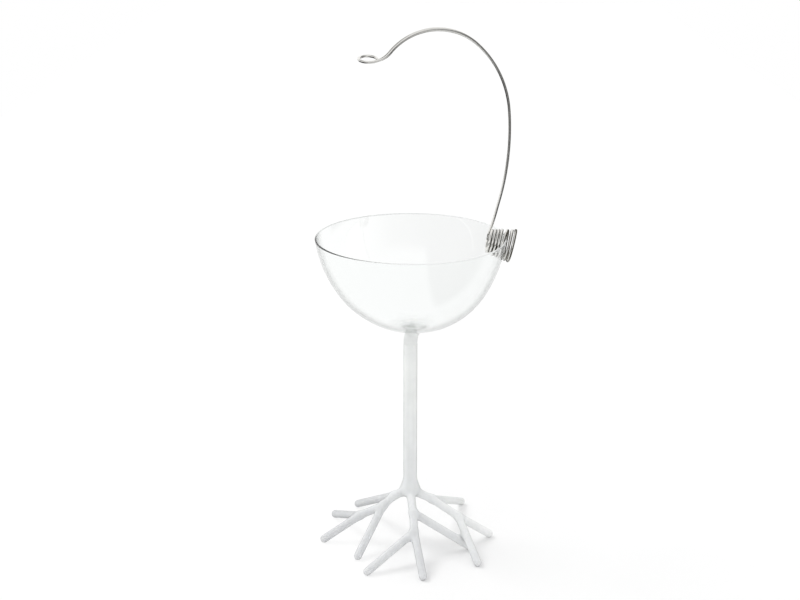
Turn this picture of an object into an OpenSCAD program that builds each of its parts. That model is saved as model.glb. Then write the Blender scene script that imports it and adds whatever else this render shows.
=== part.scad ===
// Stemmed glass coupe with a bent wire garnish holder clipped on its rim.
// The glass stands on ten lampworked toes, and the holder lifts off along the wall.
// Millimetres, +Z up. The origin lies on the bowl's axis, on the table.

/* [Bowl] */
// Outer diameter of the rim
rim_d = 96; // [90:1:104]
// Height of the rim above the table
rim_height = 165.5; // [155:0.5:180]
// Thickness of the blown wall
glass_wall = 0.9; // [0.8:0.05:1.2]
// Lean of the wall from upright at the rim, in degrees
rim_lean = 8.5; // [7:0.5:11]
// Radius of the bowl's side in profile
side_r = 69; // [64:1:74]
// Turn of the side before the rounder bottom takes over, in degrees
side_sweep = 24; // [20:1:30]

/* [Stem] */
// Diameter of the stem
stem_d = 7.2; // [6:0.1:8.4]
// Height of the clear joint between the bowl and the frosted stem
neck_h = 7.5; // [6:0.5:12]
// Radius of the fillet that spreads the clear joint into the bowl
neck_fillet_r = 3; // [2:0.5:5]

/* [Foot] */
// Diameter of the rods that the legs and toes are drawn from
rod_d = 4.2; // [3.8:0.1:4.6]
// Diameter of a rod at its root, where it grows out of its parent
root_d = 5.2; // [4.8:0.1:5.4]
// Length over which a root tapers down to its rod
root_run = 7; // [5:0.5:9]
// Diameter of the swelling where a leg forks
knuckle_d = 5.6; // [5.5:0.1:6]
// Distance from the axis to the farthest toe tips
foot_reach = 47.5; // [44:0.5:54]
// Height at which the three legs meet the axis
hub_height = 27.6; // [24:0.2:31]
// Diameter of the knot of glass where the legs meet
hub_d = 10; // [9.4:0.2:11]
// Radius of the fillet between the stem and the knot
hub_fillet_r = 4; // [3:0.5:5]
// Depth of the flat that each toe stands on
toe_flat = 0.15; // [0.1:0.05:0.3]

/* [Clip coil] */
// Diameter of the wire
wire_d = 1.4; // [1.2:0.05:1.6]
// Space between neighbouring turns along the coil
turn_gap = 0.37; // [0.37:0.01:0.5]
// Outer diameter of the coil at its small end, inside the bowl
coil_small_d = 12; // [11.4:0.2:13]
// Outer diameter of the coil at its wide end, outside the bowl
coil_wide_d = 17.4; // [16.4:0.2:18.4]
// Number of turns inside the bowl
turns_inside = 5; // [4:1:6]
// Depth of the coil's axis below the rim
clip_drop = 3.2; // [2.8:0.1:3.6]
// Room between the wire and the glass on each side of the wall
clip_clearance = 0.2; // [0.2:0.05:0.4]

/* [Arm] */
// Lean of the wire from upright where it clears the coil, in degrees
arm_lean = 22.9; // [21:0.1:25]
// Radius of the short bend where the wire leaves the coil
parting_r = 8; // [6:0.5:14]
// Radius of the long rise beside the bowl
rise_r = 128; // [118:1:138]
// Turn of the rise, in degrees
rise_sweep = 28; // [26:0.2:30]
// Radius of the shoulder
shoulder_r = 49.4; // [46:0.2:53]
// Turn of the shoulder, in degrees
shoulder_sweep = 44.5; // [42:0.1:47]
// Radius of the crown over the bowl
crown_r = 29.8; // [27:0.2:32]
// Turn of the crown, in degrees
crown_sweep = 90.2; // [86:0.2:94]
// Radius of the dip that lays the wire level for the loop
dip_r = 13.1; // [11.5:0.2:15]
// Outer diameter of the garnish loop
loop_d = 10.3; // [9.5:0.1:12]
// Tilt of the loop towards the front, in degrees
loop_tilt = 11.4; // [0:0.2:20]
// Turn of the loop before the wire is cut, in degrees
loop_sweep = 290; // [270:1:300]

/* [Hidden] */
// Overrun of every cut past the face that it opens
overrun = 1;
round_fn = 96;
wire_fn = 32;
glass_colour = [0.86, 0.91, 0.90, 0.35];
frost_colour = [0.86, 0.87, 0.87];
steel_colour = [0.72, 0.72, 0.70];

// Bowl: a side arc that leans at the rim and a rounder bottom arc, tangent to each other.
rim_r = rim_d / 2;
side_x = rim_r - side_r * cos(rim_lean);
side_z = rim_height + side_r * sin(rim_lean);
join_angle = rim_lean + side_sweep;
bottom_r = (side_x + side_r * cos(join_angle)) / cos(join_angle);
bottom_z = side_z - side_r * sin(join_angle) + bottom_r * sin(join_angle);
wall_mid_r = side_r - glass_wall / 2;
rim_end_angle = rim_lean + glass_wall / 2 / side_r * 180 / PI;
side_steps = 15;
bottom_steps = 12;
edge_steps = 8;

// Stem: from the knot's fillet up to the clear joint.
stem_r = stem_d / 2;
bowl_base_z = bottom_z - bottom_r;
neck_z = bowl_base_z - neck_h;
hub_r = hub_d / 2;
hub_fillet_x = stem_r + hub_fillet_r;
hub_fillet_z = hub_height + sqrt(pow(hub_r + hub_fillet_r, 2) - pow(hub_fillet_x, 2));

// Foot: places in plan as [azimuth in degrees, distance from the axis as a share of foot_reach].
rod_r = rod_d / 2;
toe_z = rod_r - toe_flat;
left_fork_shares = [[186, 0.18], [200, 0.32], [188, 0.57]];
left_leg_toe_share = [189, 0.97];
left_rear_toe_share = [130, 0.95];
left_side_toe_share = [152, 0.98];
left_front_toe_share = [224, 0.79];
front_fork_shares = [[276, 0.32], [275, 0.52]];
front_leg_toe_share = [278, 1];
front_left_toe_share = [243, 1];
front_right_toe_share = [337, 0.775];
right_fork_shares = [[4, 0.245], [348, 0.55]];
right_leg_toe_share = [359, 0.89];
right_rear_toe_share = [53, 1];
right_front_toe_share = [317, 1];
// The legs arch a little: a power just over one bows them above the straight line.
arch_power = 1.12;

// Coil: square to the wall where its axis crosses it, and turned a little about the wall's
// own slope, so that the half turns on both sides of the glass lie along it.
wire_r = wire_d / 2;
turn_pitch = wire_d + turn_gap;
coil_small_r = coil_small_d / 2 - wire_r;
coil_wide_r = coil_wide_d / 2 - wire_r;
// The wire ends just past the top of the second turn outside the bowl.
turns_outside = 1.85;
coil_turns = turns_inside + turns_outside;
// Share of a turn at which the wire starts to cross over the rim, and at which it has crossed.
cross_from_share = 200 / 360;
cross_to_share = 340 / 360;
coil_dip = rim_lean + clip_drop / side_r * 180 / PI;
wall_turn_r = coil_small_r + (coil_wide_r - coil_small_r) * (turns_inside - 1 / 4) / coil_turns;
// The rim curves away from the coil by this much over half its width.
rim_sag = pow(wall_turn_r, 2) / rim_d;
clip_step = wire_d + glass_wall + rim_sag + 2 * clip_clearance;
// The inner half turn gives way to the rim's curve by this share of the sag.
sag_share = 0.6;
coil_yaw = atan(turn_pitch / (4 * wall_turn_r));
slope_out = [cos(coil_dip), 0, -sin(coil_dip)];
coil_up = [sin(coil_dip), 0, cos(coil_dip)];
coil_axis = slope_out * cos(coil_yaw) - [0, 1, 0] * sin(coil_yaw);
coil_back = [0, 1, 0] * cos(coil_yaw) + slope_out * sin(coil_yaw);
coil_centre = [side_x + wall_mid_r * cos(coil_dip), 0, side_z - wall_mid_r * sin(coil_dip)];
rings_per_turn = 24;
ring_sides = 6;

// Arm: a chain of tangent bends in one upright plane, each with its radius and its turn to the left.
parting_lean = coil_dip - atan(turn_pitch / (2 * PI * coil_small_r));
crest_turn = rise_sweep + shoulder_sweep + crown_sweep - arm_lean - 90;
bend_radii = [parting_r, rise_r, shoulder_r, crown_r, dip_r];
bend_angles = [parting_lean - arm_lean, rise_sweep, shoulder_sweep, crown_sweep, -crest_turn];
bend_last = len(bend_radii) - 1;
loop_r = (loop_d - wire_d) / 2;

// Arm plane: turned so that the loop's centre comes over the bowl's middle line.
function side_of(turn) = turn < 0 ? -1 : 1;
function left_of(angle) = [-sin(angle), cos(angle)];
function heading(i) = i == 0 ? 90 - parting_lean : heading(i - 1) + bend_angles[i - 1];
function bend_start(i) = i == 0 ? [0, 0] : bend_end(i - 1);
function bend_centre(i) = bend_start(i)
    + side_of(bend_angles[i]) * bend_radii[i] * left_of(heading(i));
// Point of a bend after it has turned by an angle.
function bend_point(i, turn) = bend_centre(i)
    - side_of(bend_angles[i]) * bend_radii[i] * left_of(heading(i) + turn);
function bend_end(i) = bend_point(i, bend_angles[i]);
arm_end = bend_end(bend_last);
// Points and headings along the bends, one every few degrees.
arm_step = 3;
arm_sides = 12;
bend_steps = [for (angle = bend_angles) ceil(abs(angle) / arm_step)];
arm_turns = concat([[0, 0]], [for (i = [0 : bend_last]) for (k = [1 : bend_steps[i]])
    [i, bend_angles[i] * k / bend_steps[i]]]);
arm_line = [for (spot = arm_turns) bend_point(spot[0], spot[1])];
arm_ways = [for (spot = arm_turns)
    let (angle = heading(spot[0]) + spot[1]) [cos(angle), sin(angle)]];
coil_start = coil_point(0);
arm_yaw = -asin((coil_start[1] + loop_r) / arm_end[0]);
arm_dir = [sin(parting_lean) * cos(arm_yaw), sin(parting_lean) * sin(arm_yaw), cos(parting_lean)];
arm_foot = coil_start + wire_d * arm_dir;
function in_room(point) = arm_foot + [point[0] * cos(arm_yaw), point[0] * sin(arm_yaw), point[1]];

// Coil wire: turn counts from the back of the small end, down, under and up the front.
function smooth_step(x) = let (t = min(max(x, 0), 1)) t * t * (3 - 2 * t);
function crossed(turn) = smooth_step((turn - (turns_inside - 1) - cross_from_share)
    / (cross_to_share - cross_from_share));
function coil_reach(turn) = turn_pitch * (turn - (turns_inside - 1) - 1 / 4)
    + (clip_step - turn_pitch) * crossed(turn) - clip_step / 2 - sag_share * rim_sag;
function coil_ray(turn) = cos(360 * turn) * coil_back - sin(360 * turn) * coil_up;
function coil_radius(turn) = coil_small_r + (coil_wide_r - coil_small_r) * turn / coil_turns;
function coil_point(turn) = coil_centre + coil_reach(turn) * coil_axis
    + coil_radius(turn) * coil_ray(turn);
coil_steps = round(coil_turns * rings_per_turn);
coil_line = [for (i = [0 : coil_steps]) coil_point(coil_turns * i / coil_steps)];
tail_dir = (coil_line[coil_steps] - coil_line[coil_steps - 1])
    / norm(coil_line[coil_steps] - coil_line[coil_steps - 1]);
tube_line = concat([arm_foot], coil_line, [coil_line[coil_steps] + wire_d * tail_dir]);
tube_rays = concat([coil_ray(0)], [for (i = [0 : coil_steps]) coil_ray(coil_turns * i / coil_steps)],
    [coil_ray(coil_turns)]);

// Least gap of the coil to itself, measured between ring centres over half a turn apart.
coil_gap = min([for (i = [0 : coil_steps])
    for (j = [i + rings_per_turn / 2 + 1 : 1 : coil_steps]) norm(coil_line[i] - coil_line[j])]) - wire_d;
echo(least_gap_of_coil_to_itself = coil_gap);  // rim_clip_coil

// Tube along a line of points: one ring of corners at each point, square to the way the line runs.
function unit(v) = v / norm(v);
function line_ways(line) = [for (i = [0 : len(line) - 1])
    unit(line[min(i + 1, len(line) - 1)] - line[max(i - 1, 0)])];
function ring(point, way, ray, r, sides) = let (e = unit(ray - (ray * way) * way), f = cross(way, e))
    [for (k = [0 : sides - 1]) point + r * (cos(360 * k / sides) * e + sin(360 * k / sides) * f)];
module tube(line, ways, rays, r, sides) {
    last = len(line) - 1;
    corners = [for (i = [0 : last]) each ring(line[i], ways[i], rays[i], r, sides)];
    skin = [for (i = [0 : last - 1]) for (k = [0 : sides - 1])
        let (a = i * sides + k, b = i * sides + (k + 1) % sides)
        each [[a, a + sides, b], [b, a + sides, b + sides]]];
    start_cap = [for (k = [1 : sides - 2]) [0, k, k + 1]];
    end_cap = [for (k = [1 : sides - 2]) [last * sides, last * sides + k + 1, last * sides + k]];
    polyhedron(corners, concat(skin, start_cap, end_cap), convexity = 10);
}

// Point of the foot at a place in plan: the legs fall from the hub to the toes on one arched cone.
function foot_height(share) = hub_height - (hub_height - toe_z) * pow(share, arch_power);
function in_plan(place, z) = [foot_reach * place[1] * cos(place[0]),
    foot_reach * place[1] * sin(place[0]), z];
function fork_point(place) = in_plan(place, foot_height(place[1]));
function toe_point(place) = in_plan(place, toe_z);
hub_point = [0, 0, hub_height];

// Stands a shape made along +Z on one point, facing another.
module aim(from, to) {
    way = to - from;
    translate(from)
        rotate([0, acos(way[2] / norm(way)), atan2(way[1], way[0])])
            children();
}

// Plain length of rod between two forks.
module rod(from, to) {
    aim(from, to) cylinder(h = norm(to - from), d = rod_d, $fn = round_fn);
}

// Rod from its thick root to a round toe tip, cut flat where it stands.
module toe(from, to) {
    run = norm(to - from);
    difference() {
        aim(from, to)
            rotate_extrude($fn = round_fn) {
                polygon([[0, 0], [root_d / 2, 0], [rod_r, root_run], [rod_r, run], [0, run]]);
                intersection() {
                    translate([0, run]) circle(d = rod_d, $fn = round_fn);
                    translate([0, run]) square([rod_d, rod_d]);
                }
            }
        translate([to[0], to[1], 0])
            mirror([0, 0, 1])
                cylinder(h = rod_d, d = 2 * rod_d, $fn = round_fn);
    }
}

// Chain of rods from the hub through its forks to its own toe.
module leg_rods(points, tip) {
    last = len(points) - 1;
    aim(hub_point, points[0])
        cylinder(h = norm(points[0] - hub_point), d1 = root_d, d2 = rod_d, $fn = round_fn);
    for (i = [0 : 1 : last - 1]) rod(points[i], points[i + 1]);
    toe(points[last], tip);
}

// Swelling at a fork, turned to face what grows out of it.
module knuckle(from, to) {
    aim(from, to) sphere(d = knuckle_d, $fn = round_fn);
}

// Knot of glass with the fillet that draws it up into the stem.
module hub_shape() {
    rotate_extrude($fn = round_fn) {
        intersection() {
            translate([0, hub_height]) circle(r = hub_r, $fn = round_fn);
            translate([0, hub_height - hub_r - overrun]) square([hub_r + overrun, hub_d + 2 * overrun]);
        }
        difference() {
            polygon([[0, hub_height], hub_height_tangent(), [hub_fillet_x, hub_fillet_z],
                [stem_r, hub_fillet_z], [0, hub_fillet_z]]);
            translate([hub_fillet_x, hub_fillet_z]) circle(r = hub_fillet_r, $fn = round_fn);
        }
    }
}
function hub_height_tangent() = [0, hub_height] + hub_r * unit([hub_fillet_x, hub_fillet_z - hub_height]);

// Point of the wall at an angle below the level, and at a depth in from its outer face.
function wall_point(angle, depth) = angle < join_angle
    ? [side_x, side_z] + (side_r - depth) * [cos(angle), -sin(angle)]
    : [0, bottom_z] + (bottom_r - depth) * [cos(angle), -sin(angle)];
wall_angles = concat(
    [for (k = [0 : side_steps]) rim_end_angle + (join_angle - rim_end_angle) * k / side_steps],
    [for (k = [1 : bottom_steps]) join_angle + (90 - join_angle) * k / bottom_steps]);
wall_last = len(wall_angles) - 1;
outer_points = [for (angle = wall_angles) wall_point(angle, 0)];
inner_points = [for (k = [wall_last : -1 : 0]) wall_point(wall_angles[k], glass_wall)];
// Fire-polished edge: half a round from the inner face to the outer one.
edge_out = [cos(rim_end_angle), -sin(rim_end_angle)];
edge_up = [sin(rim_end_angle), cos(rim_end_angle)];
edge_points = [for (k = [1 : edge_steps - 1]) wall_point(rim_end_angle, glass_wall / 2)
    + glass_wall / 2 * (sin(180 * k / edge_steps) * edge_up - cos(180 * k / edge_steps) * edge_out)];

module bowl() {
    color(glass_colour)
        rotate_extrude($fn = 2 * round_fn) polygon(concat(outer_points, inner_points, edge_points));
}

// Clear joint: its fillet touches the bowl's round bottom and the stem.
module clear_neck() {
    fillet_x = stem_r + neck_fillet_r;
    fillet_z = bottom_z - sqrt(pow(bottom_r + neck_fillet_r, 2) - pow(fillet_x, 2));
    touch = [fillet_x, fillet_z] + neck_fillet_r * unit([-fillet_x, bottom_z - fillet_z]);
    color(glass_colour)
        rotate_extrude($fn = round_fn)
            difference() {
                polygon([[0, neck_z], [stem_r, neck_z], [stem_r, fillet_z], [fillet_x, fillet_z],
                    touch, [0, touch[1]]]);
                translate([fillet_x, fillet_z]) circle(r = neck_fillet_r, $fn = round_fn);
                polygon(concat(outer_points, [[0, bottom_z]]));
            }
}

module stem() {
    color(frost_colour)
        translate([0, 0, hub_fillet_z])
            cylinder(h = neck_z - hub_fillet_z, r = stem_r, $fn = round_fn);
}

module foot_hub() {
    color(frost_colour) hub_shape();
}

// Leg as it stands, cut to the hub's surface.
module seated_leg(forks, toe_share) {
    points = [for (place = forks) fork_point(place)];
    ways = [for (i = [1 : 1 : len(points) - 1]) points[i], toe_point(toe_share)];
    color(frost_colour)
        difference() {
            union() {
                leg_rods(points, toe_point(toe_share));
                for (i = [0 : len(points) - 1]) knuckle(points[i], ways[i]);
            }
            hub_shape();
        }
}

// Toe that grows out of a fork of its leg, cut to the leg's surface.
module seated_toe(forks, leg_toe_share, fork, toe_share) {
    points = [for (place = forks) fork_point(place)];
    color(frost_colour)
        difference() {
            toe(points[fork], toe_point(toe_share));
            leg_rods(points, toe_point(leg_toe_share));
            knuckle(points[fork], toe_point(toe_share));
        }
}

module left_leg() {
    seated_leg(left_fork_shares, left_leg_toe_share);
}

module left_rear_toe() {
    seated_toe(left_fork_shares, left_leg_toe_share, 0, left_rear_toe_share);
}

module left_front_toe() {
    seated_toe(left_fork_shares, left_leg_toe_share, 1, left_front_toe_share);
}

module left_side_toe() {
    seated_toe(left_fork_shares, left_leg_toe_share, 2, left_side_toe_share);
}

module front_leg() {
    seated_leg(front_fork_shares, front_leg_toe_share);
}

module front_right_toe() {
    seated_toe(front_fork_shares, front_leg_toe_share, 0, front_right_toe_share);
}

module front_left_toe() {
    seated_toe(front_fork_shares, front_leg_toe_share, 1, front_left_toe_share);
}

module right_leg() {
    seated_leg(right_fork_shares, right_leg_toe_share);
}

module right_rear_toe() {
    seated_toe(right_fork_shares, right_leg_toe_share, 0, right_rear_toe_share);
}

module right_front_toe() {
    seated_toe(right_fork_shares, right_leg_toe_share, 1, right_front_toe_share);
}

module rim_clip_coil() {
    color(steel_colour) tube(tube_line, line_ways(tube_line), tube_rays, wire_r, ring_sides);
}

// Places the arm's own plane, in which x runs away from the coil and y runs up.
module in_arm_plane() {
    translate(arm_foot) rotate([0, 0, arm_yaw]) rotate([90, 0, 0]) children();
}

module holder_arm() {
    color(steel_colour)
        tube([for (point = arm_line) in_room(point)], [for (way = arm_ways) in_room(way) - arm_foot],
            [for (point = arm_line) [sin(arm_yaw), -cos(arm_yaw), 0]], wire_r, arm_sides);
}

module garnish_loop() {
    color(steel_colour)
        in_arm_plane()
            translate([arm_end[0], arm_end[1] + loop_r * sin(loop_tilt), -loop_r * cos(loop_tilt)])
                rotate([loop_tilt - 90, 0, 0])
                    rotate([0, 0, -90 - loop_sweep])
                        rotate_extrude(angle = loop_sweep, $fn = 2 * round_fn)
                            translate([loop_r, 0]) circle(r = wire_r, $fn = wire_fn);
}

bowl();
clear_neck();
stem();
foot_hub();
left_leg();
left_rear_toe();
left_side_toe();
left_front_toe();
front_leg();
front_left_toe();
front_right_toe();
right_leg();
right_rear_toe();
right_front_toe();
rim_clip_coil();
holder_arm();
garnish_loop();
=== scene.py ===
import math

import bpy
import numpy as np
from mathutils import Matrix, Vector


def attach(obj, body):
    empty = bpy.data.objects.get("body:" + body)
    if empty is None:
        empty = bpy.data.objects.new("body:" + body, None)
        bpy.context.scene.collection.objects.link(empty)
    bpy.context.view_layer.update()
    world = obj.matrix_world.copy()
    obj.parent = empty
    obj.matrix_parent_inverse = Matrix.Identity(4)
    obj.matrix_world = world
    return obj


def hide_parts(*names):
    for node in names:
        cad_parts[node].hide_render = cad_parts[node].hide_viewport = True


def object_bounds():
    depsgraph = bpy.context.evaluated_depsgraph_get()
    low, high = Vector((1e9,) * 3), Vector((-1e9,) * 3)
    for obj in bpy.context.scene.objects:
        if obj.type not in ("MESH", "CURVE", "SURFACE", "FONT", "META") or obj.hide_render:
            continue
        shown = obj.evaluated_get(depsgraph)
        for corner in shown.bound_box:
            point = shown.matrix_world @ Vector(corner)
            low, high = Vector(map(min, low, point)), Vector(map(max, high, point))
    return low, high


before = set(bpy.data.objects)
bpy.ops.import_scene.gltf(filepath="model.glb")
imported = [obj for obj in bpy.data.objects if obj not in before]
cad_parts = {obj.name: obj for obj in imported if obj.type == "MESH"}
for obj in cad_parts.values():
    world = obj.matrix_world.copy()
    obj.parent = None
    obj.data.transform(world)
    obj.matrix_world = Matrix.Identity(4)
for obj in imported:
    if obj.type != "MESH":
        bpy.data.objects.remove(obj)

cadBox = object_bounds()
print("frame loaded")

mm = 0.001
deg = math.pi / 180


# Camera: stands a little higher than the wire's top and looks down on the glass.
camera = {"place": (0.0, -0.679, 0.355), "lookDown": 18.1, "turnLeft": 0.451, "focalPixels": 1409,
          "frameWidth": 800, "sensorWidth": 36}
cameraData = bpy.data.cameras.new("photoCamera")
cameraData.sensor_width = camera["sensorWidth"]
cameraData.lens = camera["focalPixels"] * camera["sensorWidth"] / camera["frameWidth"]
cameraData.clip_start = 0.02
cameraData.clip_end = 30
photoCamera = bpy.data.objects.new("photoCamera", cameraData)
photoCamera.location = camera["place"]
photoCamera.rotation_euler = ((90 - camera["lookDown"]) * deg, 0, camera["turnLeft"] * deg)
bpy.context.scene.collection.objects.link(photoCamera)
bpy.context.scene.camera = photoCamera
print("camera set")


# Piece from whole arrays of corners and faces: smooth, at the origin, and nowhere outside the solids' box.
def addPiece(name, corners, faces, body, replaced):
    mesh = bpy.data.meshes.new(name)
    mesh.from_pydata(np.clip(corners, *cadBox).tolist(), [], faces)
    mesh.update()
    mesh.polygons.foreach_set("use_smooth", np.ones(len(mesh.polygons), bool))
    piece = bpy.data.objects.new(name, mesh)
    bpy.context.scene.collection.objects.link(piece)
    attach(piece, body)
    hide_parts(*replaced)
    return piece


# Smooth step: 0 up to 0 and 1 from 1 on, by three times the square less twice the cube in between.
def smoothStep(x):
    x = np.clip(x, 0, 1)
    return x * x * (3 - 2 * x)


# Faces of a closed skin over a stack of rings: quads between each ring and the next, a ring's last corner
# joined to its first, and at each end a fan of triangles about one of two corners that follow the rings.
def skinFaces(rings, sides, start=0):
    i, k = np.meshgrid(np.arange(rings - 1), np.arange(sides), indexing="ij")
    a = start + i * sides + k
    b = start + i * sides + (k + 1) % sides
    quads = np.stack([a, b, b + sides, a + sides], -1).reshape(-1, 4)
    k = np.arange(sides)
    base = start + (rings - 1) * sides
    end = start + rings * sides
    firstFan = np.stack([np.full(sides, end), start + (k + 1) % sides, start + k], -1)
    lastFan = np.stack([np.full(sides, end + 1), base + k, base + (k + 1) % sides], -1)
    return quads.tolist() + firstFan.tolist() + lastFan.tolist()


# Rings of corners: round each point of a line, at its radius r and at equal turns, counted from one
# direction square to the line towards the other.
def ringCorners(line, r, one, other, sides):
    turn = np.arange(sides) * 2 * math.pi / sides
    spokes = np.cos(turn)[:, None] * one[..., None, :] + np.sin(turn)[:, None] * other[..., None, :]
    return (line[:, None] + r[:, None, None] * spokes).reshape(-1, 3)


# Surface of revolution: a point (r, z) of the profile at turn t lies at (r cos t, r sin t, z).
# The profile starts and ends on the axis, where a fan of triangles closes each pole.
def revolve(profile, sides):
    poles = np.stack([np.zeros(2), np.zeros(2), profile[[0, -1], 1]], -1)
    r, z = profile[1:-1, 0], profile[1:-1, 1]
    axis = np.stack([0 * z, 0 * z, z], -1)
    corners = np.vstack([ringCorners(axis, r, np.array([1, 0, 0]), np.array([0, 1, 0]), sides), poles])
    return corners, skinFaces(len(r), sides)


# Points of an arc of radius r about (cx, cz), from one angle to another, measured down from the level.
def arcPoints(cx, cz, r, start, end, count):
    a = np.linspace(start, end, count) * deg
    return np.stack([cx + r * np.cos(a), cz - r * np.sin(a)], -1)


# Bowl and clear neck: the same arcs as the solid's, with the neck's fillet drawn into the bowl. The neck
# is seated in the frosted rod. Angles are in degrees, and the drift's start and run in neck heights.
glass = {"rimRadius": 48 * mm, "rimHeight": 165.5 * mm, "wall": 0.9 * mm, "rimLean": 8.5,
         "sideRadius": 69 * mm, "sideSweep": 24, "stemRadius": 3.6 * mm, "neckHeight": 7.5 * mm,
         "filletRadius": 4.5 * mm, "seat": 0.4 * mm, "seatInset": 0.12 * mm, "seatMiddle": 0.55,
         "seatEnd": 0.05 * mm, "flareEnd": 0.3 * mm, "offCentre": 2.0 * mm, "driftStart": 0.25,
         "driftRun": 0.85, "rimRise": 0.75 * mm, "riseRun": 20 * mm, "sides": 256, "filletSteps": 14,
         "bottomSteps": 34, "sideSteps": 52, "beadSteps": 13, "insideSteps": 40}


# Middles, radii and joining angle of the two arcs that make the bowl's outside.
def bowlShape(g):
    sideX = g["rimRadius"] - g["sideRadius"] * math.cos(g["rimLean"] * deg)
    sideZ = g["rimHeight"] + g["sideRadius"] * math.sin(g["rimLean"] * deg)
    join = g["rimLean"] + g["sideSweep"]
    bottomR = (sideX + g["sideRadius"] * math.cos(join * deg)) / math.cos(join * deg)
    bottomZ = sideZ + (bottomR - g["sideRadius"]) * math.sin(join * deg)
    return sideX, sideZ, join, bottomR, bottomZ


# Profile up the outside from the neck's seat to the rim, over its round bead and down the inside.
def glassProfile(g):
    sideX, sideZ, join, bottomR, bottomZ = bowlShape(g)
    half = g["wall"] / 2
    rimEnd = g["rimLean"] + half / g["sideRadius"] / deg
    neckZ = bottomZ - bottomR - g["neckHeight"]
    fx = g["stemRadius"] + g["filletRadius"]
    fz = bottomZ - math.sqrt((bottomR + g["filletRadius"]) ** 2 - fx ** 2)
    touch = math.atan2(bottomZ - fz, fx) / deg
    seatR, seatZ = g["stemRadius"] - g["seatInset"], neckZ - g["seat"]
    neck = [[0, seatZ], [g["stemRadius"] * g["seatMiddle"], seatZ], [seatR, seatZ],
            [seatR, neckZ - g["seatEnd"]], [g["stemRadius"], neckZ + g["flareEnd"]]]
    fillet = arcPoints(fx, fz, -g["filletRadius"], 0, touch, g["filletSteps"])
    bottom = arcPoints(0, bottomZ, bottomR, touch, join, g["bottomSteps"])
    side = arcPoints(sideX, sideZ, g["sideRadius"], join, rimEnd, g["sideSteps"])
    out = np.array([math.cos(rimEnd * deg), -math.sin(rimEnd * deg)])
    up = np.array([math.sin(rimEnd * deg), math.cos(rimEnd * deg)])
    edge = np.array([sideX, sideZ]) + (g["sideRadius"] - half) * out
    a = np.linspace(0, math.pi, g["beadSteps"])[1:-1, None]
    bead = edge + half * (np.cos(a) * out + np.sin(a) * up)
    innerSide = arcPoints(sideX, sideZ, g["sideRadius"] - g["wall"], rimEnd, join, g["sideSteps"])
    innerBottom = arcPoints(0, bottomZ, bottomR - g["wall"], join, 90, g["insideSteps"])
    innerBottom[-1, 0] = 0
    return np.vstack([neck, fillet, bottom[1:], side[1:], bead, innerSide, innerBottom[1:]]), neckZ


# Blown glass isn't quite true: the bowl drifts sideways by the square of the depth below its rim,
# and comes back onto the stem's axis over the neck.
def offCentre(z, g, neckZ):
    depth = np.clip((g["rimHeight"] - z) / (g["rimHeight"] - neckZ - g["neckHeight"]), 0, 1)
    back = smoothStep(((z - neckZ) / g["neckHeight"] - g["driftStart"]) / g["driftRun"])
    return g["offCentre"] * depth ** 2 * back


# The rim is drawn up a little: by the square of how far a point is up the bowl's top stretch.
def rimRise(z, g):
    return g["rimRise"] * np.clip((z - g["rimHeight"]) / g["riseRun"] + 1, 0, 1) ** 2


profile, neckZ = glassProfile(glass)
bowlCorners, bowlFaces = revolve(profile, glass["sides"])
bowlCorners[:, 0] += offCentre(bowlCorners[:, 2], glass, neckZ)
bowlCorners[:, 2] += rimRise(bowlCorners[:, 2], glass)
bowlPiece = addPiece("bowlAndNeck", bowlCorners, bowlFaces, "glass", ["bowl", "clear_neck"])
print("bowl made", len(bowlCorners))


# Frosted stem and foot: round rods that melt into each other. A place is an angle about the stem's axis,
# counted from the right towards the back, and a share of the reach. A toe's root and knee are in rod radii.
foot = {"rodRadius": 2.05 * mm, "hubRodRadius": 2.35 * mm, "reach": 47.5 * mm, "hubHeight": 27.6 * mm,
        "hubRadius": 4.1 * mm, "toeFlat": 0.1 * mm, "archPower": 1.12, "web": 2.2 * mm,
        "forkWeb": 3.2 * mm, "bendMelt": 0.5 * mm, "hubMelt": 4.5 * mm, "meltBelow": 50 * mm,
        "toeRoot": 0.55, "toeKnee": 2.2, "stemTop": 0.4 * mm, "roughStem": 3 * mm, "voxel": 0.36 * mm}
forks = {"left": [(186, 0.18), (200, 0.32), (188, 0.57)], "front": [(276, 0.32), (275, 0.52)],
         "right": [(4, 0.245), (348, 0.55)]}
forkLift = {"left": (0.5, 0.1, 0), "front": (1, 0), "right": (-0.7, 0)}  # millimetres
legToes = {"left": (189, 0.97), "front": (278, 1), "right": (359, 0.89)}
sideToes = [("left", 0, (130, 0.95)), ("left", 1, (224, 0.79)), ("left", 2, (152, 0.98)),
            ("front", 0, (334, 0.74)), ("front", 1, (243, 1)), ("right", 0, (53, 1)), ("right", 1, (317, 1))]
hubPoint = np.array([0, 0, foot["hubHeight"]])
toeHeight = foot["rodRadius"] - foot["toeFlat"]


# Point at a place of the foot, at a height over the table.
def footPoint(place, height):
    angle, r = place[0] * deg, foot["reach"] * place[1]
    return np.array([r * math.cos(angle), r * math.sin(angle), height])


# Fork heights follow one arched cone from the hub down to the toes.
def forkPoint(name, number):
    place = forks[name][number]
    fall = (foot["hubHeight"] - toeHeight) * place[1] ** foot["archPower"]
    return footPoint(place, foot["hubHeight"] - fall + forkLift[name][number] * mm)


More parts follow.
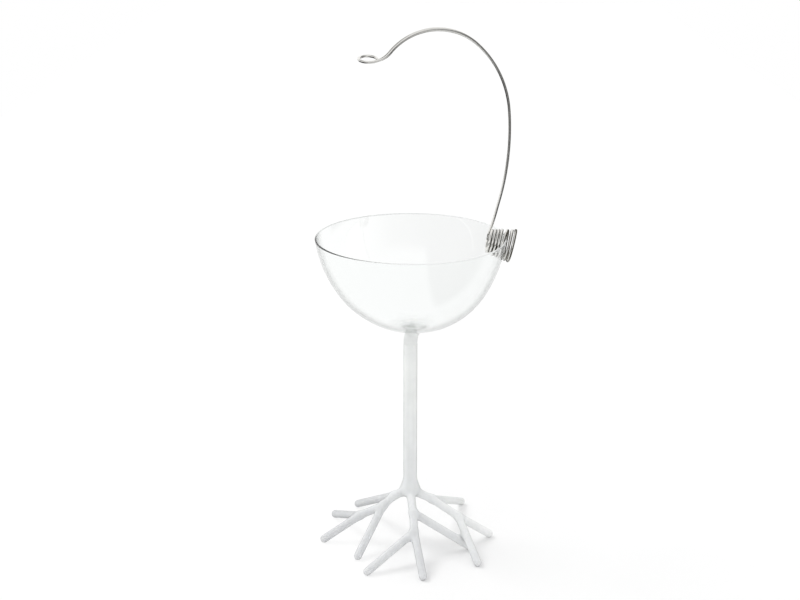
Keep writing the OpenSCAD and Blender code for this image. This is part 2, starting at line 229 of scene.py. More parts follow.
# Legs as chains of rods from the hub to their own toe, and toes as pairs of rods out of a fork.
# A rod is its start, end, start radius and end radius; a toe starts thin, inside its leg.
def footRods():
    r, legs, toes = foot["rodRadius"], [], []
    for name in forks:
        points = [hubPoint] + [forkPoint(name, i) for i in range(len(forks[name]))]
        points.append(footPoint(legToes[name], toeHeight))
        starts = [foot["hubRodRadius"]] + [r] * (len(points) - 2)
        legs.append([(a, b, start, r) for a, b, start in zip(points[:-1], points[1:], starts)])
    for name, fork, place in sideToes:
        a, b = forkPoint(name, fork), footPoint(place, toeHeight)
        knee = a + (b - a) / np.linalg.norm(b - a) * foot["toeKnee"] * r
        toes.append([(a, knee, foot["toeRoot"] * r, r), (knee, b, r, r)])
    return legs, toes


# Distance to a round rod: to the nearest point of its axis, less the radius there.
def rodDistance(p, rod):
    a, b, ra, rb = rod
    ab = b - a
    t = np.clip((p - a) @ ab / (ab @ ab), 0, 1)
    return np.linalg.norm(p - a - t[:, None] * ab, axis=1) - (ra + (rb - ra) * t)


# Distance to an upright cylinder with flat ends: to the nearer of its side and its ends from inside, and
# from outside the two distances put together at a right angle.
def stemDistance(p, r, low, high):
    out = np.stack([np.hypot(p[:, 0], p[:, 1]) - r, np.abs(p[:, 2] - (low + high) / 2) - (high - low) / 2])
    return np.hypot(*np.maximum(out, 0)) + np.minimum(out.max(0), 0)


# Where two distances lie within the melt width, the smaller one is drawn in by a quarter of the width
# times the square of how close they are.
def melt(a, b, width):
    close = np.maximum(width - np.abs(a - b), 0) / width
    return np.minimum(a, b) - close * close * width / 4


# Distance to the whole melted skin: legs, then toes, then the hub, then the stem.
def footDistance(p, rods):
    legs, toes = rods
    skin = None
    for chain in legs:
        leg = rodDistance(p, chain[0])
        for rod in chain[1:]:
            leg = melt(leg, rodDistance(p, rod), foot["bendMelt"])
        skin = leg if skin is None else melt(skin, leg, foot["web"])
    for root, rod in toes:
        skin = melt(skin, np.minimum(rodDistance(p, root), rodDistance(p, rod)), foot["forkWeb"])
    hub = np.linalg.norm(p - hubPoint, axis=1) - foot["hubRadius"]
    skin = melt(skin, hub, foot["web"])
    stem = stemDistance(p, glass["stemRadius"], foot["hubHeight"], neckZ + foot["stemTop"])
    return np.where(p[:, 2] < foot["meltBelow"], melt(skin, stem, foot["hubMelt"]), stem)


# Closed rod with round ends: rings along the axis, their radius following a quarter circle at each end.
def roundRod(a, b, ra, rb, start, sides=20, capRings=6):
    way = (b - a) / np.linalg.norm(b - a)
    side = np.cross(way, [0, 0, 1] if abs(way[2]) < 0.9 else [1, 0, 0])
    side /= np.linalg.norm(side)
    q = np.linspace(0, math.pi / 2, capRings + 1)
    along = np.concatenate([-ra * np.cos(q[1:]), np.linalg.norm(b - a) + rb * np.sin(q[:-1])])
    wide = np.concatenate([ra * np.sin(q[1:]), rb * np.cos(q[:-1])])
    rings = ringCorners(a + along[:, None] * way, wide, side, np.cross(way, side), sides)
    return np.vstack([rings, [a - ra * way, b + rb * way]]), skinFaces(len(along), sides, start)


# Rough foot of overlapping rods, joined into one skin by a voxel remesh, which makes only quads.
def roughFoot(rods):
    corners, faces = np.zeros((0, 3)), []
    stem = (hubPoint, np.array([0, 0, neckZ - foot["roughStem"]]), glass["stemRadius"], glass["stemRadius"])
    for rod in [rod for chain in rods[0] + rods[1] for rod in chain] + [stem]:
        rodCorners, rodFaces = roundRod(*rod, len(corners))
        corners = np.vstack([corners, rodCorners])
        faces += rodFaces
    mesh = bpy.data.meshes.new("roughFoot")
    mesh.from_pydata(corners.tolist(), [], faces)
    rough = bpy.data.objects.new("roughFoot", mesh)
    bpy.context.scene.collection.objects.link(rough)
    remesh = rough.modifiers.new("skin", "REMESH")
    remesh.mode = "VOXEL"
    remesh.voxel_size = foot["voxel"]
    skin = rough.evaluated_get(bpy.context.evaluated_depsgraph_get()).to_mesh()
    p = np.zeros(len(skin.vertices) * 3)
    skin.vertices.foreach_get("co", p)
    quads = np.zeros(len(skin.loops), np.int32)
    skin.loops.foreach_get("vertex_index", quads)
    rough.to_mesh_clear()
    bpy.data.objects.remove(rough)
    bpy.data.meshes.remove(mesh)
    return p.reshape(-1, 3), quads.reshape(-1, 4).tolist()


# Each corner steps along the slope of the distance until it lies on the melted skin. The slope is the
# change of the distance over a small step h, and where it is nearly flat the step is kept short.
def settle(p, rods, steps=5, h=0.01 * mm, share=0.95, flattest=0.2):
    for _ in range(steps):
        d = footDistance(p, rods)
        slope = np.stack([footDistance(p + h * axis, rods) - d for axis in np.eye(3)], -1) / h
        p = p - share * d[:, None] * slope / np.maximum((slope ** 2).sum(1), flattest)[:, None]
    p[:, 2] = np.maximum(p[:, 2], 0)
    return p


rods = footRods()
roughCorners, footFaces = roughFoot(rods)
footPiece = addPiece("frostedStemAndFoot", settle(roughCorners, rods), footFaces, "glass",
                     ["stem", "foot_hub", "left_leg", "left_rear_toe", "left_side_toe", "left_front_toe",
                      "front_leg", "front_left_toe", "front_right_toe", "right_leg", "right_rear_toe",
                      "right_front_toe"])
print("foot made", len(roughCorners))


# Wire holder: coil, arm and loop are one wire, a round section carried along one line. The crossing is
# the part of a turn, in degrees, in which the wire passes over the rim. Bends are radii and sweeps. The
# cut ends' insets and edges are in wire radii.
wire = {"radius": 0.7 * mm, "turnGap": 0.37 * mm, "smallRadius": 5.3 * mm, "wideRadius": 8.0 * mm,
        "turnsInside": 5, "turnsOutside": 1.85, "clipDrop": 3.2 * mm, "clipClearance": 0.2 * mm,
        "sagShare": 0.6, "crossing": (200, 340), "squeeze": 0.2 * mm, "settleRun": 18 * mm,
        "swell": 0.42, "swellFrom": (-17 * mm, -10 * mm), "swellTo": (12 * mm, 40 * mm),
        "swellAbove": 240 * mm, "cutInset": (0, 0.06, 0.3), "cutEdge": (0.7, 0.92, 1.0),
        "spacing": 0.4 * mm, "blendPoints": 17, "sides": 24}
bends = {"lean": 22.9, "parting": 8 * mm, "rise": (128 * mm, 28.0), "shoulder": (49.4 * mm, 44.5),
         "crown": (29.8 * mm, 90.2), "dip": 13.1 * mm, "loopRadius": 4.45 * mm, "loopTilt": 11.4,
         "loopSweep": 290}


# Coil: at turn t the point lies r(t) from the axis, at angle t counted from the back and down, and
# its reach along the axis grows by one pitch a turn, with one smooth step where it crosses the rim.
# The turns inside the bowl are squeezed a little closer.
def coilLine(perTurn=72):
    sideX, sideZ = bowlShape(glass)[:2]
    pitch = 2 * wire["radius"] + wire["turnGap"]
    turns = wire["turnsInside"] + wire["turnsOutside"]
    growth = (wire["wideRadius"] - wire["smallRadius"]) / turns
    halfway = wire["turnsInside"] - 1 + sum(wire["crossing"]) / 2 / 360
    mid = glass["sideRadius"] - glass["wall"] / 2
    dip = glass["rimLean"] * deg + wire["clipDrop"] / glass["sideRadius"]
    wallR = wire["smallRadius"] + growth * halfway
    sag = wallR ** 2 / (2 * glass["rimRadius"])  # how far the round wall bends away within the coil
    step = 2 * wire["radius"] + glass["wall"] + sag + 2 * wire["clipClearance"]
    yaw = math.atan(pitch / (4 * wallR))
    out = np.array([math.cos(dip), 0, -math.sin(dip)])
    up = np.array([math.sin(dip), 0, math.cos(dip)])
    axis = out * math.cos(yaw) - np.array([0, 1, 0]) * math.sin(yaw)
    back = np.array([0, 1, 0]) * math.cos(yaw) + out * math.sin(yaw)
    centre = np.array([sideX + mid * math.cos(dip), 0, sideZ - mid * math.sin(dip)])
    t = np.linspace(0, turns, int(turns * perTurn) + 1)
    low, high = [angle / 360 for angle in wire["crossing"]]
    over = smoothStep((t - wire["turnsInside"] + 1 - low) / (high - low))
    reach = (pitch * (t - halfway + 0.5) + (step - pitch) * over - step / 2 - wire["sagShare"] * sag
             + wire["squeeze"] * np.maximum(wire["turnsInside"] - 1 - t, 0))
    r = wire["smallRadius"] + growth * t
    ray = np.cos(2 * math.pi * t)[:, None] * back - np.sin(2 * math.pi * t)[:, None] * up
    line = centre + reach[:, None] * axis + r[:, None] * ray
    return line, dip - math.atan(pitch / (2 * math.pi * wire["smallRadius"])), axis


# Arm: arcs of a circle laid end to end in one upright plane, each tangent to the one before.
def armLine(start, lean, perDegree=1.0):
    crest = bends["rise"][1] + bends["shoulder"][1] + bends["crown"][1] - bends["lean"] - 90
    arcs = [(bends["parting"], lean / deg - bends["lean"]), bends["rise"], bends["shoulder"],
            bends["crown"], (bends["dip"], -crest)]
    heading, point, flat = math.pi / 2 - lean, np.zeros(2), [np.zeros((1, 2))]
    for r, turn in arcs:
        side = math.copysign(1, turn)
        centre = point + side * r * np.array([-math.sin(heading), math.cos(heading)])
        a = heading + np.linspace(0, turn, int(abs(turn) / perDegree) + 3)[1:] * deg
        flat.append(centre - side * r * np.stack([-np.sin(a), np.cos(a)], -1))
        heading, point = a[-1], flat[-1][-1]
    flat = np.vstack(flat)
    yaw = -math.asin((start[1] + bends["loopRadius"]) / point[0])
    way = np.array([math.cos(yaw), math.sin(yaw), 0])
    across = np.array([-math.sin(yaw), math.cos(yaw), 0])
    up = np.array([0, 0, 1])
    armFoot = start + 2 * wire["radius"] * (math.sin(lean) * way + math.cos(lean) * up)
    return armFoot + flat[:, :1] * way + flat[:, 1:] * up, way, across


# Loop: an arc of a circle that leaves the arm's end on the loop's front side and runs round by the left.
def loopLine(start, way, across, count=120):
    tilt = bends["loopTilt"] * deg
    toBack = across * math.cos(tilt) + np.array([0, 0, 1]) * math.sin(tilt)
    a = np.linspace(0, bends["loopSweep"], count)[1:] * deg
    return (start + bends["loopRadius"] * ((1 - np.cos(a))[:, None] * toBack - np.sin(a)[:, None] * way),
            np.array([0, 0, 1]) * math.cos(tilt) - across * math.sin(tilt))


# Distance run along a line up to each of its points.
def runAlong(line):
    return np.concatenate([[0], np.cumsum(np.linalg.norm(np.diff(line, axis=0), axis=1))])


# Evenly spaced places along a line, each value interpolated by the distance run.
def evenly(line, values, step):
    run = runAlong(line)
    at = np.linspace(0, run[-1], int(run[-1] / step) + 1)
    return np.stack([np.interp(at, run, v) for v in values.T], -1)


# From the loop to the crown the wire is broader: by how far across the arm's top a point has come, and
# only above the shoulder.
def wireRadius(line):
    come, gone = [smoothStep((line[:, 0] - low) / (high - low))
                  for low, high in (wire["swellFrom"], wire["swellTo"])]
    return wire["radius"] * (1 + wire["swell"] * come * (1 - gone) * (line[:, 2] > wire["swellAbove"]))


# Tube: at each point of the line a ring of corners, at equal turns about the way the line runs, counted
# from a reference direction squared to it. The two ends are sawn flat, with a small rounded edge.
# With it go the millimetres run and the cosine and sine of the turn, at each corner.
def tubeSurface(line, reference, radius, sides):
    way = np.gradient(line, axis=0)
    way /= np.linalg.norm(way, axis=1)[:, None]
    normal = reference - (reference * way).sum(1)[:, None] * way
    normal /= np.linalg.norm(normal, axis=1)[:, None]
    other = np.cross(way, normal)
    inset = np.array(wire["cutInset"])[:, None] * radius[0]
    edge = np.array(wire["cutEdge"])
    line = np.vstack([line[0] + inset * way[0], line[1:-1], line[-1] - inset[::-1] * way[-1]])
    r = np.concatenate([radius[0] * edge, radius[1:-1], radius[-1] * edge[::-1]])
    normal, other = [np.vstack([v[:1], v[:1], v, v[-1:], v[-1:]]) for v in (normal, other)]
    corners = np.vstack([ringCorners(line, r, normal, other, sides), line[:1], line[-1:]])
    run = runAlong(line)
    along = np.concatenate([np.repeat(run, sides), [0, run[-1]]])
    turned = np.concatenate([np.tile(np.arange(sides) * 2 * math.pi / sides, len(line)), [0, 0]])
    return corners, skinFaces(len(line), sides), np.stack([along / mm, np.cos(turned), np.sin(turned)], -1)


coil, lean, coilAxis = coilLine()
shift = wire["squeeze"] * (wire["turnsInside"] - 1) * coilAxis
arm, way, across = armLine(coil[0] - shift, lean)
arm = arm + smoothStep(1 - (arm[:, 2] - arm[0, 2]) / wire["settleRun"])[:, None] * shift
loop, loopUp = loopLine(arm[-1], way, across)
coilLength = runAlong(coil)[-1]
wholeLine = np.vstack([coil[::-1], arm, loop])
reference = np.repeat([coilAxis, across, loopUp], [len(coil), len(arm), len(loop)], axis=0)
even = evenly(wholeLine, np.hstack([wholeLine, reference]), wire["spacing"])
blend = np.ones(wire["blendPoints"]) / wire["blendPoints"]
reference = np.stack([np.convolve(np.pad(v, wire["blendPoints"] // 2, mode="edge"), blend, "valid")
                      for v in even[:, 3:].T], -1)
radius = wireRadius(even)
lower = (radius - wire["radius"])[:, None] * np.array([0, 0, 1])  # keeps the broad stretch's top in place
wireLine = even[:, :3] - lower
wireCorners, wireFaces, grain = tubeSurface(wireLine, reference, radius, wire["sides"])
wirePiece = addPiece("wireHolder", wireCorners, wireFaces, "holder",
                     ["rim_clip_coil", "holder_arm", "garnish_loop"])
alongWire = wirePiece.data.attributes.new("alongWire", "FLOAT_VECTOR", "POINT")
alongWire.data.foreach_set("vector", grain.astype(np.float32).ravel())
print("wire made", len(wireCorners), "faces", len(wireFaces))


# Shader helpers. Each adds nodes to a tree, and most give back the socket that the next one reads.
def newMaterial(name):
    material = bpy.data.materials.new(name)
    material.use_nodes = True
    return material, material.node_tree, material.node_tree.nodes["Principled BSDF"]


def setInputs(node, values):
    for key, value in values.items():
        node.inputs[key].default_value = value


# New node, with each value set on the input of that name, or else as a setting of the node.
def addNode(tree, kind, **values):
    node = tree.nodes.new(kind)
    for key, value in values.items():
        if key in node.inputs:
            node.inputs[key].default_value = value
        else:
            setattr(node, key, value)
    return node


# Sets each socket to its value, or links it where the value is itself a socket.
def feed(tree, pairs):
    for socket, value in pairs:
        if isinstance(value, bpy.types.NodeSocket):
            tree.links.new(value, socket)
        else:
            socket.default_value = value


# Smooth ramp between two values of a socket.
def addRamp(tree, source, low, high, toLow, toHigh):
    ramp = addNode(tree, "ShaderNodeMapRange", interpolation_type="SMOOTHSTEP")
    setInputs(ramp, {"From Min": low, "From Max": high, "To Min": toLow, "To Max": toHigh})
    tree.links.new(source, ramp.inputs["Value"])
    return ramp.outputs["Result"]


def addMix(tree, factor, a, b, kind="FLOAT"):
    mix = addNode(tree, "ShaderNodeMix", data_type=kind)
    first, second = [i for i in mix.inputs if i.name in "AB" and i.enabled]
    feed(tree, [(mix.inputs[0], factor), (first, a), (second, b)])
    return [o for o in mix.outputs if o.enabled][0]


def addMath(tree, operation, a, b):
    node = addNode(tree, "ShaderNodeMath", operation=operation)
    feed(tree, zip(node.inputs, (a, b)))
    return node.outputs["Value"]


def mixShaders(tree, factor, first, second):
    mix = addNode(tree, "ShaderNodeMixShader")
    feed(tree, zip(mix.inputs, (factor, first, second)))
    return mix.outputs[0]


def splitVector(tree, vector):
    split = addNode(tree, "ShaderNodeSeparateXYZ")
    tree.links.new(vector, split.inputs["Vector"])
    return [split.outputs[name] for name in "XYZ"]


# Coordinates, whole and as their three numbers.
def addPlace(tree, kind="Object"):
    coords = addNode(tree, "ShaderNodeTexCoord").outputs[kind]
    return [coords] + splitVector(tree, coords)


# Noise on a vector, which may be stretched first.
def addNoise(tree, vector, scale, detail, stretch=None):
    if stretch:
        mapping = addNode(tree, "ShaderNodeMapping", Scale=stretch)
        tree.links.new(vector, mapping.inputs["Vector"])
        vector = mapping.outputs["Vector"]
    noise = addNode(tree, "ShaderNodeTexNoise", Scale=scale, Detail=detail)
    tree.links.new(vector, noise.inputs["Vector"])
    return noise.outputs["Fac"]


def addBump(tree, shader, vector, scale, detail, strength, distance):
    bump = addNode(tree, "ShaderNodeBump", Strength=strength, Distance=distance)
    tree.links.new(addNoise(tree, vector, scale, detail), bump.inputs["Height"])
    tree.links.new(bump.outputs["Normal"], shader.inputs["Normal"])


def addFacing(tree):
    return addNode(tree, "ShaderNodeLayerWeight", Blend=0.5).outputs["Facing"]


def setSurface(tree, shader):
    tree.links.new(shader, tree.nodes["Material Output"].inputs["Surface"])


# First: one where a ray comes from the camera, off gloss or through glass, and lights nothing dull.
# Second: one where it comes off brushed steel, whose gloss is not sharp.
def addSeen(tree):
    path = addNode(tree, "ShaderNodeLightPath").outputs
    glossy, through, sharp = path["Is Glossy Ray"], path["Is Transmission Ray"], path["Is Singular Ray"]
    first = addMath(tree, "LESS_THAN", path["Diffuse Depth"], 0.5)
    seen = addMath(tree, "MAXIMUM", addMath(tree, "MAXIMUM", glossy, through), path["Is Camera Ray"])
    steel = addMath(tree, "MULTIPLY", glossy, addMath(tree, "LESS_THAN", sharp, 0.5))
    return addMath(tree, "MULTIPLY", seen, first), addMath(tree, "MULTIPLY", steel, first)


# Clear glass: a faint grey-green tint and the slow ripple of blown glass. Edge-on the tint grows much
# darker, a little for the deeper wall and mostly as painted shade for the dark outline. The joint under
# the bowl turns milky towards the frosted stem. The rim's polished bead is bright glass on the front
# left and elsewhere a pale diffuse, which is painted light standing in for light carried along the rim,
# a little less so in front of the clip. The glass throws next to no shadow. The milk's, bead's and
# clip's ranges are in metres.
clear = {"ior": 1.47, "ripple": (30, 1.0, 0.2, 0.0005), "tint": (0.97, 0.979, 0.975, 1),
         "edgeTintAndShade": (0.38, 0.4, 0.39, 1), "edgeOn": (0.6, 0.97), "milk": (0.90, 0.915, 0.905, 1),
         "milkRun": (3.5 * mm, 10.5 * mm), "milkShare": 0.94, "milkRoughness": 0.5,
         "bead": (0.91, 0.925, 0.918, 1), "beadDepth": (0.5 * mm, 0.3 * mm), "beadRight": (-0.05, 0.02),
         "beadBack": (-0.006, 0.012), "clipRight": (0.039, 0.044), "clipFront": (-0.002, 0.006),
         "clipFade": 0.3, "shadowTint": (0.978, 0.983, 0.981, 1)}


def clearBlownGlass():
    material, tree, shader = newMaterial("clearBlownGlass")
    coords, x, y, z = addPlace(tree)
    setInputs(shader, {"Roughness": 0, "IOR": clear["ior"], "Transmission Weight": 1})
    addBump(tree, shader, coords, *clear["ripple"])
    # Painted shade: the tint darkens strongly edge-on for the dark outline, beyond what the deeper wall
    # gives.
    edgeOn = addRamp(tree, addFacing(tree), *clear["edgeOn"], 0, 1)
    tintedAndShaded = addMix(tree, edgeOn, clear["tint"], clear["edgeTintAndShade"], "RGBA")
    tree.links.new(tintedAndShaded, shader.inputs["Base Color"])

    milk = addNode(tree, "ShaderNodeBsdfPrincipled")
    setInputs(milk, {"Base Color": clear["milk"], "Roughness": clear["milkRoughness"]})
    milkLow, milkHigh = [neckZ + height for height in clear["milkRun"]]
    milkShare = addRamp(tree, z, milkLow, milkHigh, clear["milkShare"], 0)
    milky = mixShaders(tree, milkShare, shader.outputs[0], milk.outputs[0])

    # Painted light: a pale diffuse on the rim bead stands in for light carried along the glass rim.
    pale = addNode(tree, "ShaderNodeBsdfDiffuse", Color=clear["bead"])
    beadLow, beadHigh = [glass["rimHeight"] + glass["rimRise"] - depth for depth in clear["beadDepth"]]
    bead = addMath(tree, "MAXIMUM", addRamp(tree, x, *clear["beadRight"], 0, 1),
                   addRamp(tree, y, *clear["beadBack"], 0, 1))
    bead = addMath(tree, "MULTIPLY", bead, addRamp(tree, z, beadLow, beadHigh, 0, 1))
    byClip = addMath(tree, "MULTIPLY", addRamp(tree, x, *clear["clipRight"], 0, clear["clipFade"]),
                     addRamp(tree, y, *clear["clipFront"], 1, 0))
    bead = addMath(tree, "MULTIPLY", bead, addMath(tree, "SUBTRACT", 1, byClip))
    withPaintedBeadLight = mixShaders(tree, bead, milky, pale.outputs[0])

    unshaded = addNode(tree, "ShaderNodeBsdfTransparent", Color=clear["shadowTint"])
    shadowRay = addNode(tree, "ShaderNodeLightPath").outputs["Is Shadow Ray"]
    setSurface(tree, mixShaders(tree, shadowRay, withPaintedBeadLight, unshaded.outputs[0]))
    return material


# Frosted glass: pale and milky, with faint drawn streaks, an etched grain and a darker edge. It is
# greyer and cooler in the left legs, as painted shade, and whiter in the right legs, as painted light
# shining through them; these leg tones take over from the stem's towards the toes. What lies further
# back counts as further right, and by more on the right side than on the left. Ranges of place are in
# metres.
frost = {"stem": (0.83, 0.846, 0.836, 1), "cool": (0.64, 0.648, 0.66, 1), "pale": (0.92, 0.935, 0.928, 1),
         "backSide": (-0.02, 0.02), "backShare": (0.15, 1.5), "coolToPale": (-0.048, 0.055),
         "footToStem": (0.016, 0.1), "streakStretch": (520, 520, 26), "streakNoise": (1.0, 3.0),
         "cloudNoise": (160.0, 2.0), "noiseRange": (0.3, 0.7), "streaks": 0.04, "edgeOn": (0.35, 0.9),
         "edgeShade": (1.03, 0.77), "roughness": (0.52, 0.64), "ior": 1.45, "specular": 0.35,
         "scatter": 0.8, "scatterRadius": (1.0, 1.0, 0.97), "scatterScale": 0.004,
         "grain": (2400, 3.0, 0.2, 0.0001)}


def frostedGlass():
    material, tree, shader = newMaterial("frostedGlass")
    coords, x, y, z = addPlace(tree)
    # Painted shade and light: the legs go cool grey on the left and near white on the right.
    behind = addMath(tree, "MULTIPLY", y, addRamp(tree, x, *frost["backSide"], *frost["backShare"]))
    paintedLightShare = addRamp(tree, addMath(tree, "ADD", x, behind), *frost["coolToPale"], 0, 1)
    shadedAndLitLegColour = addMix(tree, paintedLightShare, frost["cool"], frost["pale"], "RGBA")
    colour = addMix(tree, addRamp(tree, z, *frost["footToStem"], 0, 1), shadedAndLitLegColour, frost["stem"], "RGBA")
    streaks = addNoise(tree, coords, *frost["streakNoise"], frost["streakStretch"])
    depth = addMix(tree, 0.5, streaks, addNoise(tree, coords, *frost["cloudNoise"]))
    tone = addRamp(tree, depth, *frost["noiseRange"], 1 - frost["streaks"], 1 + frost["streaks"])
    edgeShade = addRamp(tree, addFacing(tree), *frost["edgeOn"], *frost["edgeShade"])
    tone = addMath(tree, "MULTIPLY", tone, edgeShade)
    shade = addNode(tree, "ShaderNodeVectorMath", operation="SCALE")
    feed(tree, [(shade.inputs[0], colour), (shade.inputs["Scale"], tone)])
    tree.links.new(shade.outputs["Vector"], shader.inputs["Base Color"])
    roughness = addRamp(tree, depth, *frost["noiseRange"], *frost["roughness"])
    tree.links.new(roughness, shader.inputs["Roughness"])
    setInputs(shader, {"IOR": frost["ior"], "Specular IOR Level": frost["specular"],
                       "Subsurface Weight": frost["scatter"], "Subsurface Radius": frost["scatterRadius"],
                       "Subsurface Scale": frost["scatterScale"]})
    addBump(tree, shader, coords, *frost["grain"])
    return material


# Steel wire: bright drawn steel, with faint lines along its length. Where the coil's turns face each
# other, on the coil's inside and at the cut end, a dark brown diffuse is painted shade; low on the coil
# it is paler, as painted light bounced from the floor. Ranges along the wire are in millimetres run from
# the coil's cut end, coilEnd counts back from its other end, ranges across the wire go from -1 to 1, and
# lowTurns is a range of height in metres.
steel = {"dark": (0.77, 0.76, 0.73, 1), "light": (0.93, 0.92, 0.89, 1), "coilShade": (0.07, 0.064, 0.05, 1),
         "bounceLitShade": (0.62, 0.61, 0.565, 1), "polish": (0.13, 0.24), "lineStretch": (0.1, 7, 7),
         "lineNoise": (1.4, 3.0), "noiseRange": (0.3, 0.7), "astrideStart": (40, 60), "astride": 0.5,
         "astrideEnd": (135, 160), "inside": (-0.5, -0.05), "facingTurn": (0.0, 0.45),
         "facingShare": 0.88, "coilEnd": (22, 8), "lastFace": (-0.2, 0.2), "lastShare": 0.97,
         "lastTurn": (35, 55), "cutEnd": (5, 11), "cutShare": 0.9, "lowTurns": (0.1535, 0.1585)}


def drawnSteelWire():
    material, tree, shader = newMaterial("drawnSteelWire")
    grainVector = addNode(tree, "ShaderNodeAttribute", attribute_name="alongWire").outputs["Vector"]
    run, outward, radial = splitVector(tree, grainVector)
    lines = addNoise(tree, grainVector, *steel["lineNoise"], steel["lineStretch"])
    paleness = addRamp(tree, lines, *steel["noiseRange"], 0, 1)
    colour = addMix(tree, paleness, steel["dark"], steel["light"], "RGBA")
    tree.links.new(colour, shader.inputs["Base Color"])
    polish = addRamp(tree, lines, *steel["noiseRange"], *steel["polish"])
    tree.links.new(polish, shader.inputs["Roughness"])
    setInputs(shader, {"Metallic": 1})

    # Painted shade: mask of where the coil's turns hide each other's light, and of the cut end.
    astride = addMath(tree, "MULTIPLY", addRamp(tree, run, *steel["astrideStart"], 0, steel["astride"]),
                      addRamp(tree, run, *steel["astrideEnd"], 1, 0))
    inside = addMath(tree, "MULTIPLY", addRamp(tree, radial, *steel["inside"], 1, 0),
                     addMath(tree, "SUBTRACT", 1, astride))
    facingTurn = addRamp(tree, outward, *steel["facingTurn"], 0, steel["facingShare"])
    coilShade = addMath(tree, "MAXIMUM", inside, facingTurn)
    fadeStart, fadeEnd = [coilLength / mm - back for back in steel["coilEnd"]]
    coilShade = addMath(tree, "MULTIPLY", coilShade, addRamp(tree, run, fadeStart, fadeEnd, 1, 0))
    lastTurn = addMath(tree, "MULTIPLY", addRamp(tree, outward, *steel["lastFace"], 0, steel["lastShare"]),
                       addRamp(tree, run, *steel["lastTurn"], 1, 0))
    coilShade = addMath(tree, "MAXIMUM", coilShade, lastTurn)
    coilShade = addMath(tree, "MAXIMUM", coilShade, addRamp(tree, run, *steel["cutEnd"], steel["cutShare"], 0))

    # Painted light low on the coil, as bounced from the floor; the shade is darker higher up.
    above = addRamp(tree, addPlace(tree)[3], *steel["lowTurns"], 0, 1)
    gloom = addMix(tree, above, steel["bounceLitShade"], steel["coilShade"], "RGBA")
    shadow = addNode(tree, "ShaderNodeBsdfDiffuse")
    tree.links.new(gloom, shadow.inputs["Color"])
    setSurface(tree, mixShaders(tree, coilShade, shader.outputs[0], shadow.outputs[0]))
    return material


bowlPiece.data.materials.append(clearBlownGlass())
footPiece.data.materials.append(frostedGlass())
wirePiece.data.materials.append(drawnSteelWire())
print("materials made")


# Floor: a plain white sheet. Part of its white is its own to the camera, to gloss and through glass,
# and the rest is lit, so that it keeps the shadow. More of it is its own on the left, which is painted
# light that fills in the shadows there. Brushed steel sees instead a painted reflection: a bright middle
# and dim sides, with dark patches on the left, close to the glass and towards the camera.
# The sheet is left, right, front and rear, and all ranges are in metres.
floor = {"sheet": (-0.55, 0.55, -0.9, 2.6), "colour": (0.93, 0.93, 0.93, 1), "roughness": 0.9,
         "ownStrength": 1.03, "ownSide": (-0.035, 0.012), "ownShare": (0.8, 0.15),
         "middle": (0.22, 0.34), "middleDepth": (-0.64, -0.52), "middleBright": (0.8, 1.0), "dim": 0.12,
         "leftSide": (-0.01, 0.05), "leftDepth": (-0.66, -0.48), "leftDarkReflection": 0.94,
         "closeDepth": (-0.36, -0.2), "closeDarkReflection": 0.6,
         "bandStart": (-0.8, -0.76), "bandEnd": (-0.64, -0.57), "bandDarkReflection": 0.88}


# What brushed steel sees of the floor, as a brightness: a painted reflection with dark patches.
def addSteelFloor(tree, x, y):
    away = addMath(tree, "ABSOLUTE", x, 0)
    middle = addRamp(tree, y, *floor["middleDepth"], *floor["middleBright"])
    lit = addMix(tree, addRamp(tree, away, *floor["middle"], 0, 1), middle, floor["dim"])
    # Painted reflection: dark patches seen only by the steel, on the left, close to the glass and towards
    # the camera.
    leftDarkReflection = addMath(tree, "MULTIPLY", addRamp(tree, x, *floor["leftSide"], floor["leftDarkReflection"], 0),
                       addRamp(tree, y, *floor["leftDepth"], 0, 1))
    closeDarkReflection = addRamp(tree, y, *floor["closeDepth"], 0, floor["closeDarkReflection"])
    bandDarkReflection = addMath(tree, "MULTIPLY", addRamp(tree, y, *floor["bandStart"], 0, floor["bandDarkReflection"]),
                       addRamp(tree, y, *floor["bandEnd"], 1, 0))
    darkReflections = addMath(tree, "MAXIMUM", addMath(tree, "MAXIMUM", leftDarkReflection, closeDarkReflection), bandDarkReflection)
    return addMath(tree, "MULTIPLY", lit, addMath(tree, "SUBTRACT", 1, darkReflections))


def floorWhite():
    material, tree, shader = newMaterial("floorWhite")
    _, x, y, _ = addPlace(tree)
    setInputs(shader, {"Base Color": floor["colour"], "Roughness": floor["roughness"],
                       "Specular IOR Level": 0})
    own = addNode(tree, "ShaderNodeEmission", Strength=floor["ownStrength"])
    seen, bySteel = addSeen(tree)
    # Painted light: more own white on the left, which fills in the shadows there.
    ownShare = addMath(tree, "MULTIPLY", seen, addRamp(tree, x, *floor["ownSide"], *floor["ownShare"]))
    sheet = mixShaders(tree, ownShare, shader.outputs[0], own.outputs[0])
    forSteel = addNode(tree, "ShaderNodeEmission")
    tree.links.new(addSteelFloor(tree, x, y), forSteel.inputs["Strength"])
    setSurface(tree, mixShaders(tree, bySteel, sheet, forSteel.outputs[0]))
    return material


left, right, front, rear = floor["sheet"]
floorMesh = bpy.data.meshes.new("studioFloor")
floorMesh.from_pydata([(left, front, 0), (right, front, 0), (right, rear, 0), (left, rear, 0)], [],
                      [(0, 1, 2, 3)])
studioFloor = bpy.data.objects.new("studioFloor", floorMesh)
bpy.context.scene.collection.objects.link(studioFloor)
floorMesh.materials.append(floorWhite())

# Key light: large and soft, from the left and a little behind, so that shadows fall to the front right.
key = {"strength": 0.95, "angle": 26, "direction": (36, 0, -116)}
keyData = bpy.data.lights.new("keyLight", "SUN")
keyData.energy = key["strength"]
keyData.angle = key["angle"] * deg
keyLight = bpy.data.objects.new("keyLight", keyData)
keyLight.rotation_euler = [angle * deg for angle in key["direction"]]
keyLight.visible_glossy = False
keyLight.visible_transmission = False
bpy.context.scene.collection.objects.link(keyLight)

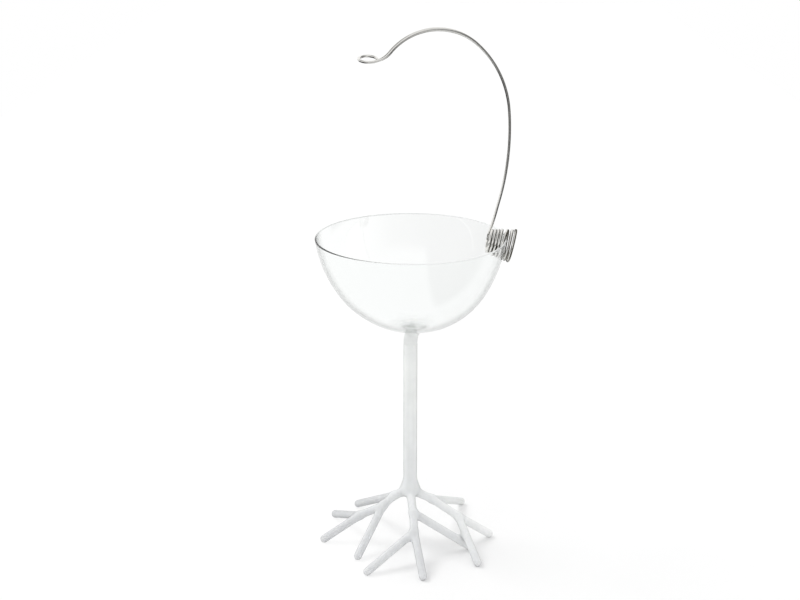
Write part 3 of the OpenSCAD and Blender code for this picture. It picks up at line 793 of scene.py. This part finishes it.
# World: an even fill for diffuse light, and white to the camera and straight through the glass. Sharp
# gloss sees a studio that is bright behind, overhead and on the right, and dim on the camera's side and
# below. The wire sees the same, with a lamp low over its left and front. Ranges are parts of a direction
# of length one: side to the right, ahead away from the camera, and height.
studio = {"ambient": 0.85, "white": (1, 1, 1, 1), "behind": 1.03, "behindFrom": (0.25, 0.6),
          "horizon": (-0.08, 0), "straight": (0.1, 0.2),
          "glassLeft": (-0.8, 0.4), "glassDim": (0.02, 0.36), "glassRight": (0.3, 0.95), "glassLamp": 1.1,
          "glassHeight": (0.38, 0.62), "glassHighSide": (-0.42, -0.26), "glassHigh": (0.05, 0.95),
          "glassBelow": 0.2, "steelSide": (0.1, 0.55), "steelLamp": (0.95, 0.14),
          "steelHeight": (0.42, 0.6), "steelHighLeft": (-0.42, -0.3), "steelHigh": (0.35, 0.8),
          "steelHighRight": (0.4, 0.75), "steelFade": (1, 0.25), "steelBelow": 0.12}


# One tent: a value low down and one overhead, dark below the horizon, and white behind.
def addTent(tree, ahead, height, low, lowRange, overhead, below):
    front = addMix(tree, addRamp(tree, height, *lowRange, 0, 1), low, overhead)
    front = addMix(tree, addRamp(tree, height, *studio["horizon"], 1, 0), front, below)
    return addMix(tree, addRamp(tree, ahead, *studio["behindFrom"], 0, 1), front, studio["behind"])


def addGlassTent(tree, side, ahead, height):
    dim = addRamp(tree, side, *studio["glassLeft"], *studio["glassDim"])
    low = addMix(tree, addRamp(tree, side, *studio["glassRight"], 0, 1), dim, studio["glassLamp"])
    overhead = addRamp(tree, side, *studio["glassHighSide"], *studio["glassHigh"])
    return addTent(tree, ahead, height, low, studio["glassHeight"], overhead, studio["glassBelow"])


def addSteelTent(tree, side, ahead, height):
    low = addRamp(tree, side, *studio["steelSide"], *studio["steelLamp"])
    overhead = addMath(tree, "MULTIPLY", addRamp(tree, side, *studio["steelHighLeft"], *studio["steelHigh"]),
                       addRamp(tree, side, *studio["steelHighRight"], *studio["steelFade"]))
    return addTent(tree, ahead, height, low, studio["steelHeight"], overhead, studio["steelBelow"])


def softStudio():
    world = bpy.data.worlds.new("softStudio")
    world.use_nodes = True
    tree = world.node_tree
    tree.nodes.clear()
    side, ahead, height = addPlace(tree, "Generated")[1:]
    seen, bySteel = addSeen(tree)
    tents = addMix(tree, bySteel, addGlassTent(tree, side, ahead, height),
                   addSteelTent(tree, side, ahead, height))
    path = addNode(tree, "ShaderNodeLightPath").outputs
    straight = addMath(tree, "MULTIPLY", path["Is Transmission Ray"],
                       addMath(tree, "LESS_THAN", path["Glossy Depth"], 0.5))
    straight = addMath(tree, "MULTIPLY", straight, addRamp(tree, height, *studio["straight"], 1, 0))
    tent = addNode(tree, "ShaderNodeBackground")
    tree.links.new(addMix(tree, straight, tents, 1.0), tent.inputs["Color"])
    fill = addNode(tree, "ShaderNodeBackground", Color=studio["white"], Strength=studio["ambient"])
    white = addNode(tree, "ShaderNodeBackground", Color=studio["white"])
    around = mixShaders(tree, seen, fill.outputs[0], tent.outputs[0])
    around = mixShaders(tree, path["Is Camera Ray"], around, white.outputs[0])
    tree.links.new(around, addNode(tree, "ShaderNodeOutputWorld").inputs["Surface"])
    return world


bpy.context.scene.world = softStudio()
bpy.context.scene.view_settings.view_transform = "Standard"
print("studio lit")
